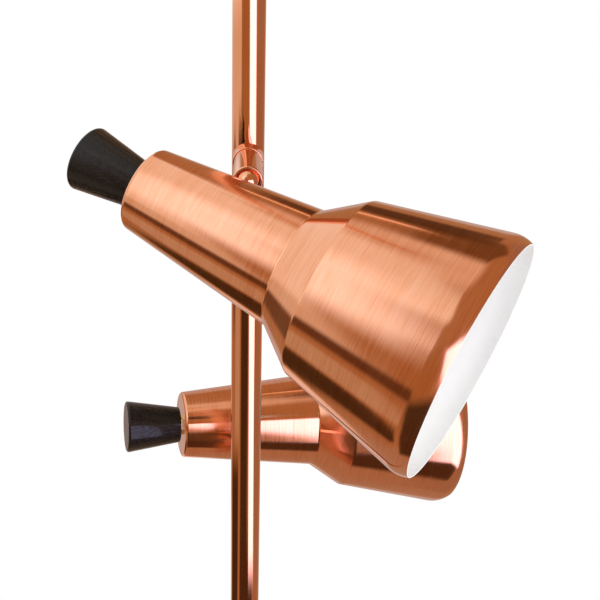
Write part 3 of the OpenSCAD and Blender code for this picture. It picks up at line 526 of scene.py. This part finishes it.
def makeBulbCap(side):
    # radius(a, h) loses depth times a rounded wave of h / pitch - a / turn: a screw thread
    z = capSizes

    def threaded(radius, angle, height):
        sleeve = radius > z["radius"] - 2 * z["wall"]
        wave = 0.5 + 0.5 * np.cos(2 * np.pi * height / z["pitch"] - angle)
        return radius - z["depth"] * wave * sleeve * within(height, z["threadEnds"], z["threadFade"]), height

    bore, floor = z["radius"] - z["wall"], z["coneEnd"] + z["wall"]
    corners = [(0, z["tipAt"]), (z["tip"], z["tipAt"]), (z["tip"], z["tipEnd"]),
               (z["coneRadius"], z["tipEnd"]), (z["radius"], z["coneEnd"]), (z["radius"], z["end"]),
               (bore, z["end"]), (bore, floor), (0, floor)]
    outline = roundedOutline(corners, z["rounds"], z["step"])
    cap = turned(side + "BulbCap", outline, headPlace(side), [steel], z["sides"], reshape=threaded)
    standFor(cap, side + "_bulb_cap")


for side in ("upper", "lower"):
    makeShell(side)
    makeKnob(side)
    makeLampholder(side)
    makeBulbCap(side)
print("spot heads made")

# Swivels, in mm along Z outwards from the pole's axis, and ball stems from the ball's centre

swivelSizes = dict(
    poleRadius=10.05, saddleRadius=9.3, saddleEnd=20.5, saddleFlat=1.0, nippleHole=5.05,
    saddleRounds=[0, 0, 0.5, 0.2], saddleStep=2.0,
    radius=8.6, low=20.8, front=60.0, nippleBore=5.06, nippleEnd=35.1, leadBore=3.2,
    ballAt=58.0, cup=6.56, cupSteps=24, socketRounds=[0, 0.3, 0.8, 0.08, 0, 0],
    ringHole=7.55, ringBack=58.4, ringRadius=7.5, flareAt=59.2, mouthRadius=6.95, ringSteps=8,
    ringRounds=[0, 0.15, 0.1, 0],
    ball=6.5, ballSteps=60, stem=3.2, stemBore=2.15, stemEnd=21.4, stemSides=120, stemStep=1.5,
    neckRise=0.25, neckDrop=0.05, stemRounds=[0, 0.45, 0.4, 0.1, 0], sides=160)


def makeSaddle(side):
    # a sleeve whose inner end follows the pole: below its rounded edge each row is stretched so
    # that the end lies at the height sqrt(poleRadius^2 - y^2)
    z = swivelSizes
    top = z["saddleEnd"] - z["saddleFlat"]

    def hugged(radius, angle, height):
        low = np.sqrt(z["poleRadius"] ** 2 - (radius * np.sin(angle)) ** 2)
        return radius, np.where(height < top, top - (top - height) * (top - low) / top, height)

    corners = [(z["nippleHole"], 0), (z["saddleRadius"], 0), (z["saddleRadius"], z["saddleEnd"]),
               (z["nippleHole"], z["saddleEnd"])]
    outline = roundedOutline(corners, z["saddleRounds"], z["saddleStep"], closed=True)
    saddle = turned(side + "SaddleRing", outline, swivelPlace(side), [copper], z["sides"],
                    closed=True, reshape=hugged)
    standFor(saddle, side + "_saddle")


def cupAngle(height):
    # degrees from the swivel's axis to the ball cup's rim at a height
    z = swivelSizes
    return np.degrees(np.arccos((height - z["ballAt"]) / z["cup"]))


def makeSocket(side):
    # a rounded can with the ring's seat, the hollow of the ball, the lead's bore and the nipple's
    z = swivelSizes
    deep = np.degrees(np.arcsin(z["leadBore"] / z["cup"]))
    cup = arc(z["ballAt"], z["cup"], cupAngle(z["ringBack"]), 180 - deep, z["cupSteps"])
    body = roundedOutline([(z["nippleBore"], z["low"]), (z["radius"], z["low"]), (z["radius"], z["front"]),
                           (z["ringHole"], z["front"]), (z["ringHole"], z["ringBack"]), cup[0]],
                          z["socketRounds"])
    bore = roundedOutline([cup[-1], (z["leadBore"], z["nippleEnd"]), (z["nippleBore"], z["nippleEnd"]),
                           (z["nippleBore"], z["low"])], [0, 0, 0, 0])
    outline = np.vstack([body[:, :2], cup[1:-1], bore[:-1, :2]])
    socket = turned(side + "BallSocket", outline, swivelPlace(side), [copper], z["sides"], closed=True)
    standFor(socket, side + "_socket")


def makeSocketRing(side):
    # the last stretch of the ball's hollow, which flares to the mouth
    z = swivelSizes
    cup = arc(z["ballAt"], z["cup"], cupAngle(z["ringBack"]), cupAngle(z["flareAt"]), z["ringSteps"])
    rim = roundedOutline([cup[-1], (z["mouthRadius"], z["front"]), (z["ringRadius"], z["front"]),
                          (z["ringRadius"], z["ringBack"])], z["ringRounds"])
    outline = np.vstack([cup[:-1], rim[:, :2]])
    ring = turned(side + "SocketRing", outline, swivelPlace(side), [copper], z["sides"], closed=True)
    standFor(ring, side + "_socket_ring")


def makeBallStem(side):
    # a bored ball whose meridian runs on into the stem. The fillet between them is small, so that
    # it clears the ring when the stem tilts
    z = swivelSizes
    start = np.degrees(np.arcsin(z["stemBore"] / z["ball"]))
    end = np.degrees(np.arcsin((z["stem"] + z["neckRise"]) / z["ball"]))
    ball = arc(0, z["ball"], 180 - start, end, z["ballSteps"])
    neck = (z["stem"], z["ball"] * np.cos(np.radians(end)) - z["neckDrop"])
    rest = roundedOutline([ball[-2], neck, (z["stem"], z["stemEnd"]), (z["stemBore"], z["stemEnd"]), ball[0]],
                          z["stemRounds"], z["stemStep"])
    outline = np.vstack([ball[:-2], rest[:-1, :2]])
    stem = turned(side + "BallStem", outline, stemPlace(side), [copper], z["stemSides"], closed=True)
    standFor(stem, side + "_ball_stem")


for side in ("upper", "lower"):
    makeSaddle(side)
    makeSocket(side)
    makeSocketRing(side)
    makeBallStem(side)
print("swivels made")

# Feet, pads, lock nut and spring, in mm along the pole

footSizes = dict(
    radius=32.0, rim=4.0, hub=12.0, height=12.0, padHole=30.05, padSeat=1.5, sides=200,
    rounds=[0, 0.2, 0.2, 0.5, 1.2, 0.8],
    spigot=8.75, spigotLength=30.0, spigotRounds=[0.1, 0.8, 0],
    screwAt=28.5, screwHole=2.0, screwDepth=4.5, screwDrill=10.0,
    rodHole=4.55, rodSeat=9.0, rodRounds=[0.3, 0, 0])


def footCorners():
    # the cone from the pad's seat over the rim up to the hub, heights from the foot's base
    z = footSizes
    return [(0, z["padSeat"]), (z["padHole"], z["padSeat"]), (z["padHole"], 0), (z["radius"], 0),
            (z["radius"], z["rim"]), (z["hub"], z["height"])]


def makeFloorFoot():
    # the cone and a spigot for the tube, with the screw's hole in it
    z = footSizes
    base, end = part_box("floor_foot")[0][2] / mm, z["height"] + z["spigotLength"]
    corners = footCorners() + [(z["spigot"], z["height"]), (z["spigot"], end), (0, end)]
    outline = roundedOutline(corners, z["rounds"] + z["spigotRounds"]) + (0, base, 0)
    foot = turned("floorFoot", outline, polePlace, [copper], z["sides"])
    start = (0, (z["spigot"] - z["screwDepth"]) * mm, z["screwAt"] * mm)
    bored(foot, start, (0, 1, 0), z["screwHole"], z["screwDrill"])
    standFor(foot, "floor_foot")


def makeCeilingFoot():
    # the cone upside down, with a blind hole for the plunger rod
    z = footSizes
    base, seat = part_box("ceiling_foot")[1][2] / mm, z["height"] - z["rodSeat"]
    corners = footCorners() + [(z["rodHole"], z["height"]), (z["rodHole"], seat), (0, seat)]
    outline = roundedOutline(corners, z["rounds"] + z["rodRounds"]) * (1, -1, 1) + (0, base, 0)
    standFor(turned("ceilingFoot", outline, polePlace, [copper], z["sides"]), "ceiling_foot")


padSizes = dict(
    radius=30.0, height=3.0, rounds=[0, 0.35, 0.35, 0], faceEnd=29.6, faceRows=180, sides=200,
    groovePitch=4.0, grooveDepth=0.6, grooves=6, grooveSlope=2.0, grooveShare=0.6)


def makePad(name, node, up):
    # a disc whose outer face dips by grooveDepth in rings groovePitch apart
    z = padSizes
    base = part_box(node)[0 if up > 0 else 1][2] / mm
    radius = np.linspace(0, z["faceEnd"], z["faceRows"])
    wave = -np.cos(2 * np.pi * radius / z["groovePitch"])
    dips = np.clip(z["grooveSlope"] * wave - z["grooveShare"], 0, 1)
    dips = dips * (radius < z["groovePitch"] * (z["grooves"] + 0.5))
    face = np.column_stack([radius, z["grooveDepth"] * dips])
    rest = roundedOutline([face[-1], (z["radius"], 0), (z["radius"], z["height"]), (0, z["height"])],
                          z["rounds"])
    outline = np.vstack([face[:-1], rest[:, :2]]) * (1, up) + (0, base)
    standFor(turned(name, outline, polePlace, [rubber], z["sides"]), node)


nutSizes = dict(
    height=20.0, radius=13.5, edge=1.2, bore=8.3, wideBore=10.36, wideHeight=12.3,
    rounds=[0.3, 0.4, 0.6, 0.6, 0.4, 0.5, 0.1, 0.1], grooves=16, groove=0.7, perGroove=24)


def makeLockNut():
    # radius(a) dips in a round scallop of radius groove at each of the grooves, centred on the rim
    z = nutSizes

    def scalloped(radius, angle, height):
        pitch = 2 * np.pi / z["grooves"]
        offset = (angle + pitch / 2) % pitch - pitch / 2
        sine = z["radius"] * np.sin(offset)
        hollow = np.sqrt(np.clip(z["groove"] ** 2 - sine ** 2, 0, None))
        scallop = z["radius"] * np.cos(offset) - hollow
        return np.where(hollow > 0, np.minimum(radius, scallop), radius), height

    corners = [(z["wideBore"], 0), (z["radius"] - z["edge"], 0), (z["radius"], z["edge"]),
               (z["radius"], z["height"] - z["edge"]), (z["radius"] - z["edge"], z["height"]),
               (z["bore"], z["height"]), (z["bore"], z["wideHeight"]), (z["wideBore"], z["wideHeight"])]
    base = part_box("lock_nut")[0][2] / mm
    outline = roundedOutline(corners, z["rounds"], closed=True) + (0, base, 0)
    nut = turned("lockNut", outline, polePlace, [copper], z["grooves"] * z["perGroove"], closed=True,
                 reshape=scalloped)
    standFor(nut, "lock_nut")


springSizes = dict(
    coil=5.9, wire=0.8, low=2261.9, high=2401.9, turns=16, closedPitch=1.75, closedTurns=0.5,
    perTurn=28, sides=14, travel=50.0)


def makeSpring():
    # wire round a helix: point(a, t) = centre(t) + wire (cos a out(t) + sin a across(t)), with t in
    # turns. The turns lie close at both ends, and the pitch opens over one turn.
    z = springSizes
    t = np.linspace(0, z["turns"], z["turns"] * z["perTurn"] + 1)
    parted = np.clip(np.minimum(t, z["turns"] - t) - z["closedTurns"], 0, 1)
    reached = np.concatenate([[0], np.cumsum((parted[1:] + parted[:-1]) / 2)])
    rise = z["high"] - z["low"] - 2 * z["wire"] - z["closedPitch"] * z["turns"]
    height = z["low"] + z["wire"] + z["closedPitch"] * t + rise * reached / reached[-1]
    out = np.stack([np.cos(2 * np.pi * t), np.sin(2 * np.pi * t), 0 * t], 1)
    centre = z["coil"] * out + height[:, None] * [0, 0, 1]
    tangent = np.gradient(centre, axis=0)
    across = np.cross(tangent / np.linalg.norm(tangent, axis=1, keepdims=True), out)
    rows = np.concatenate([[0], np.arange(len(t)), [len(t) - 1]])    # each end closes in one point
    wire = np.full(len(rows), z["wire"])
    wire[[0, -1]] = 0
    around = np.linspace(0, 2 * np.pi, z["sides"], endpoint=False)[None, :, None]
    spokes = np.cos(around) * out[rows][:, None] + np.sin(around) * across[rows][:, None]
    ring = (centre[rows][:, None] + wire[:, None, None] * spokes) * mm
    reach = 2 * np.pi * z["coil"] * t[rows] * mm
    spring = wrapped("tensionSpring", ring, wire == 0, reach, [steel])
    standFor(spring, "tension_spring")
    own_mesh(spring)


makeFloorFoot()
makeCeilingFoot()
makePad("floorPad", "floor_pad", 1)
makePad("ceilingPad", "ceiling_pad", -1)
makeLockNut()
makeSpring()
print("feet, lock nut and spring made")

# Studio, in metres: a pale round floor that fades into white, panels that only glossy rays meet,
# and two soft lamps

floorSizes = dict(radius=0.62, rows=40, sides=96, tone=0.80, vary=0.03, mottle=3.0, roughness=0.6,
                  shadeShare=0.5, fadeFrom=0.12, fadeTo=0.6014)


def makeFloor():
    # point(a, r) = (r cos a, r sin a, 0)
    z = floorSizes
    outline = np.column_stack([np.linspace(z["radius"], 0, z["rows"]) / mm, np.zeros(z["rows"])])
    material, tree, shader = newMaterial("paleFloor")
    coords = addNode(tree, "TexCoord", {}).outputs["Object"]
    mottle = noise(tree, coords, z["mottle"])
    setInputs(tree, shader, {"Base Color": ramp(tree, mottle, (0.3, z["tone"]), (0.7, z["tone"] + z["vary"])),
                             "Roughness": z["roughness"]})
    distance = addNode(tree, "VectorMath", {0: coords}, operation="LENGTH").outputs["Value"]
    fade = addNode(tree, "MapRange", {"Value": distance, "From Min": z["fadeFrom"], "From Max": z["fadeTo"],
                                      "To Min": z["shadeShare"], "To Max": 1.0},
                   interpolation_type="SMOOTHSTEP").outputs["Result"]
    path = addNode(tree, "LightPath", {})
    seen = maths(tree, "MAXIMUM", path.outputs["Is Camera Ray"], path.outputs["Is Transmission Ray"])
    white = addNode(tree, "Emission", {"Color": (1, 1, 1, 1), "Strength": 1.0})
    blend = addNode(tree, "MixShader", {"Fac": maths(tree, "MULTIPLY", seen, fade),
                                        1: shader.outputs[0], 2: white.outputs[0]})
    tree.links.new(blend.outputs[0], tree.nodes["Material Output"].inputs["Surface"])
    floor = turned("floor", outline, polePlace, [material], z["sides"])
    floor.visible_glossy = False    # metal shows the warm panel below instead


# Panels round the lamp, on a sphere that only glossy rays meet and in the world beyond it: compass
# and height of the middle and half the width and height, in degrees (0 is the camera's side, + its
# right hand), softness of the edges, light, and how far a panel leans, in degrees of compass for
# each degree of height. A later one covers an earlier one
panels = [
    dict(at=(0, -76), half=(181, 18), soft=8, light=(0.42, 0.25, 0.16)),    # floor under the lamp
    dict(at=(0, 82), half=(181, 8), soft=14, light=(0.78, 0.62, 0.52)),     # ceiling
    dict(at=(180, -18), half=(36, 38), soft=6, light=(0.55, 0.41, 0.36)),   # pale backdrop
    dict(at=(-156, -48), half=(18, 8), soft=6, light=(0.85, 0.62, 0.50)),   # its lit foot
    dict(at=(124, 62), half=(27, 14), soft=9, light=(0.17, 0.08, 0.027)),   # dark corner at the top right
    dict(at=(155, 46), half=(13, 10), soft=8, light=(0.10, 0.045, 0.018)),  # gap above the backdrop
    dict(at=(163, 60), half=(12, 1.3), soft=2, light=(1.3, 0.85, 0.6)),     # bright edge over the gap
    dict(at=(-108, 42), half=(56, 42), soft=5, light=(0.95, 0.90, 0.86)),   # broad box at the left
    dict(at=(-106, 6), half=(54, 8), soft=8, light=(0.72, 0.60, 0.50)),     # its lower edge
    dict(at=(-68, 67), half=(54, 17), soft=9, light=(0.95, 0.90, 0.86)),    # its top, over the lamp
    dict(at=(-48, 44), half=(14, 20), soft=20, light=(1.3, 1.35, 1.5)),     # its bright middle
    dict(at=(-23, 12), half=(25, 20), soft=10, lean=0.35,
         light=(0.37, 0.18, 0.065)),                                        # room behind the camera
    dict(at=(-57, -3), half=(17, 5), soft=6, light=(0.12, 0.05, 0.018)),    # gap under the left box
    dict(at=(-110, -10), half=(12, 10), soft=6, light=(0.15, 0.08, 0.04)),  # the same, further round
    dict(at=(-74, -23), half=(20, 9), soft=5, light=(0.52, 0.39, 0.28)),    # table edge at the left
    dict(at=(-97, -43), half=(31, 9), soft=5, light=(0.06, 0.028, 0.008)),  # dark under the table
    dict(at=(-16, -33), half=(28, 25), soft=14, light=(0.06, 0.03, 0.009)),  # dark under the camera
    dict(at=(10, -56), half=(54, 14), soft=8, light=(0.07, 0.03, 0.01)),    # dark under the strip box
    dict(at=(92, -15), half=(30, 60), soft=8, light=(0.36, 0.21, 0.13)),    # dim wall at the right
    dict(at=(33.5, -10.5), half=(22.5, 35), soft=5, lean=-0.36,
         light=(2.5, 2.25, 3.3))]                                           # strip box at the right
studioLight = dict(surround=(0.42, 0.22, 0.10), ambient=1.05)    # between the panels, and on matt surfaces


def panelLight(tree, direction):
    # the light that comes from a direction: the panels laid over one another
    parts = addNode(tree, "SeparateXYZ", {"Vector": direction})
    towards = maths(tree, "MULTIPLY", parts.outputs["Y"], -1.0)
    compass = maths(tree, "DEGREES", maths(tree, "ARCTAN2", parts.outputs["X"], towards))
    rise = maths(tree, "DEGREES", maths(tree, "ARCSINE", parts.outputs["Z"]))

    def inside(value, middle, half, soft):
        # 1 within half of the middle, falling smoothly to 0 over soft degrees at each edge
        offset = maths(tree, "WRAP", maths(tree, "SUBTRACT", value, middle), 180.0, -180.0)
        away = maths(tree, "ABSOLUTE", offset)
        edge = {"Value": away, "From Min": half + soft / 2, "From Max": half - soft / 2}
        return addNode(tree, "MapRange", edge, interpolation_type="SMOOTHSTEP").outputs["Result"]

    light = addNode(tree, "RGB", {}).outputs[0]
    light.default_value = (*studioLight["surround"], 1)
    for panel in panels:
        bearing = maths(tree, "MULTIPLY_ADD", rise, -panel.get("lean", 0.0), compass)
        shape = maths(tree, "MULTIPLY", inside(bearing, panel["at"][0], panel["half"][0], panel["soft"]),
                      inside(rise, panel["at"][1], panel["half"][1], panel["soft"]))
        layer = {"Fac": shape, "Color1": light, "Color2": (*panel["light"], 1)}
        light = addNode(tree, "MixRGB", layer).outputs[0]
    return light


sphereSizes = dict(radius=650.0, middle=1550.0, rows=64, sides=96)    # in mm


def makeSphere():
    # point(a, t) = (r sin t cos a, r sin t sin a, middle + r cos t). Rays from outside pass through
    z = sphereSizes
    material = bpy.data.materials.new("panelSphere")
    material.use_nodes = True
    tree = material.node_tree
    coords = addNode(tree, "TexCoord", {}).outputs["Object"]
    middle = (0, 0, z["middle"] * mm)
    away = addNode(tree, "VectorMath", {0: coords, 1: middle}, operation="SUBTRACT").outputs[0]
    direction = addNode(tree, "VectorMath", {0: away}, operation="NORMALIZE").outputs[0]
    glow = addNode(tree, "Emission", {"Color": panelLight(tree, direction)})
    inner = addNode(tree, "NewGeometry", {}).outputs["Backfacing"]
    clear = addNode(tree, "BsdfTransparent", {})
    both = addNode(tree, "MixShader", {"Fac": inner, 1: clear.outputs[0], 2: glow.outputs[0]})
    tree.links.new(both.outputs[0], tree.nodes["Material Output"].inputs["Surface"])
    outline = arc(z["middle"], z["radius"], 0, 180, z["rows"])
    sphere = turned("panelSphere", outline, polePlace, [material], z["sides"])
    sphere.visible_camera = sphere.visible_diffuse = sphere.visible_shadow = False
    sphere.visible_transmission = sphere.visible_volume_scatter = False


def makeWorld():
    # white to the camera and through glass, the panels to glossy rays, even light to the rest
    world = bpy.data.worlds.new("studio")
    scene.world = world
    world.use_nodes = True
    tree = world.node_tree
    direction = addNode(tree, "TexCoord", {}).outputs["Generated"]
    boxes = addNode(tree, "Background", {"Color": panelLight(tree, direction)})
    white = addNode(tree, "Background", {"Color": (1, 1, 1, 1), "Strength": 1.0})
    even = addNode(tree, "Background", {"Color": (1, 1, 1, 1), "Strength": studioLight["ambient"]})
    path = addNode(tree, "LightPath", {})
    unseen = addNode(tree, "MixShader", {"Fac": path.outputs["Is Glossy Ray"],
                                         1: even.outputs[0], 2: boxes.outputs[0]})
    seen = maths(tree, "MAXIMUM", path.outputs["Is Camera Ray"], path.outputs["Is Transmission Ray"])
    both = addNode(tree, "MixShader", {"Fac": seen, 1: unseen.outputs[0], 2: white.outputs[0]})
    tree.links.new(both.outputs[0], tree.nodes["World Output"].inputs["Surface"])


lampSizes = [
    dict(name="keyLamp", place=(-1.5, -1.5, 3.0), aim=(0, 0, 1.5), size=1.3, power=14),
    dict(name="fillLamp", place=(1.8, -1.2, 2.4), aim=(0, 0, 1.5), size=1.4, power=8)]


def makeLamps():
    for z in lampSizes:
        lamp = bpy.data.lights.new(z["name"], "AREA")
        lamp.shape, lamp.size, lamp.energy = "DISK", z["size"], z["power"]
        item = bpy.data.objects.new(z["name"], lamp)
        item.location = z["place"]
        item.rotation_euler = (Vector(z["aim"]) - Vector(z["place"])).to_track_quat("-Z", "Y").to_euler()
        item.visible_glossy = False
        scene.collection.objects.link(item)


# The photograph's viewpoint: place in metres, focal length and frame in its pixels, angles in
# radians, sensor in mm
viewpoint = dict(place=(0.0, -0.69864, 1.88488), focal=1161.31, frame=600,
                 pitch=0.3830, roll=0.0263, yaw=0.0492, sensor=36.0, clip=(0.01, 60.0))


def makeCamera():
    z = viewpoint
    level = np.cos(z["pitch"])
    forward = np.array([np.sin(z["yaw"]) * level, np.cos(z["yaw"]) * level, -np.sin(z["pitch"])])
    right = np.cross(forward, (0, 0, 1)) / level
    up = np.cross(right, forward)
    across = right * np.cos(z["roll"]) + up * np.sin(z["roll"])
    upwards = up * np.cos(z["roll"]) - right * np.sin(z["roll"])
    camera = bpy.data.objects.new("camera", bpy.data.cameras.new("camera"))
    camera.data.sensor_width = z["sensor"]
    camera.data.lens = z["focal"] * z["sensor"] / z["frame"]
    camera.data.clip_start, camera.data.clip_end = z["clip"]
    turn = Matrix(np.column_stack([across, upwards, -forward]).tolist())
    camera.matrix_world = Matrix.LocRotScale(Vector(z["place"]), turn, None)
    scene.collection.objects.link(camera)
    scene.camera = camera


makeFloor()
makeSphere()
makeWorld()
makeLamps()
makeCamera()
scene.view_settings.view_transform = "Standard"
print("studio made")
